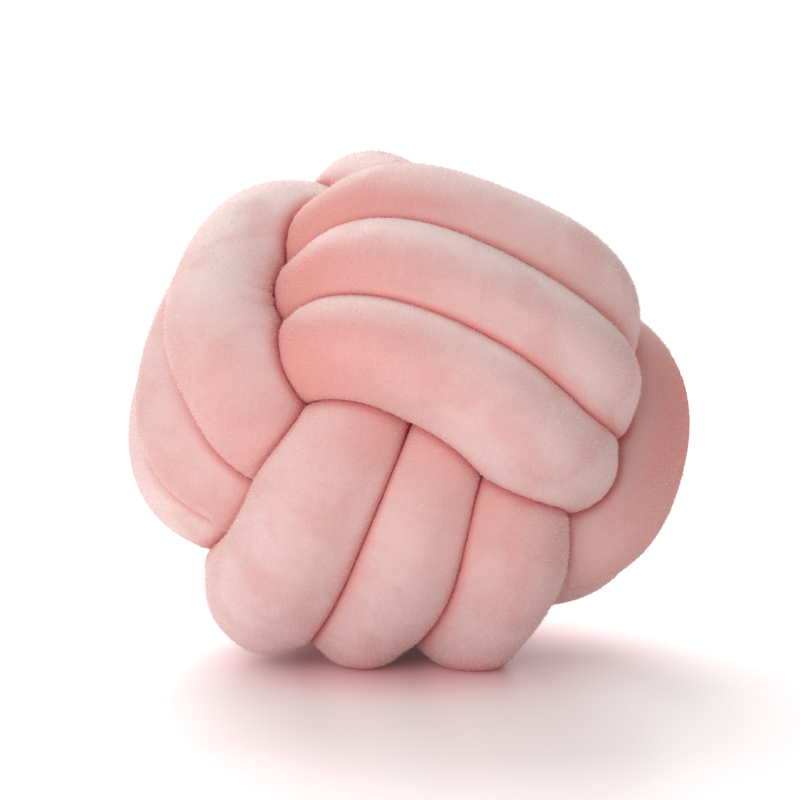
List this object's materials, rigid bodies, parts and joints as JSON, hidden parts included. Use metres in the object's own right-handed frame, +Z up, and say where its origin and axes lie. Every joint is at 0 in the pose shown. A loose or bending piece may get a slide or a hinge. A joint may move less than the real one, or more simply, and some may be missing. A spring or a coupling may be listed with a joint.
{
  "type": "knot cushion",
  "caption": "Round knot cushion: a long stuffed velvet tube tied into a ball of interlocking bands, slightly flattened where it rests.",
  "frame": {"origin": "centre of the bottom of the bounding box, on the surface the cushion rests on", "axes": "+Z up, +X to the right and -Y towards the viewer when the cushion is seen from the front, on the side where three strands come down side by side to the surface, under the band that crosses over them"},
  "size_m": [0.2798, 0.2708, 0.249],
  "materials": {
    "velvet": "soft short-pile velvet with a pale sheen, matt"
  },
  "bodies": {
    "root": {"knotted_tube": "velvet"}
  },
  "joints": []
}
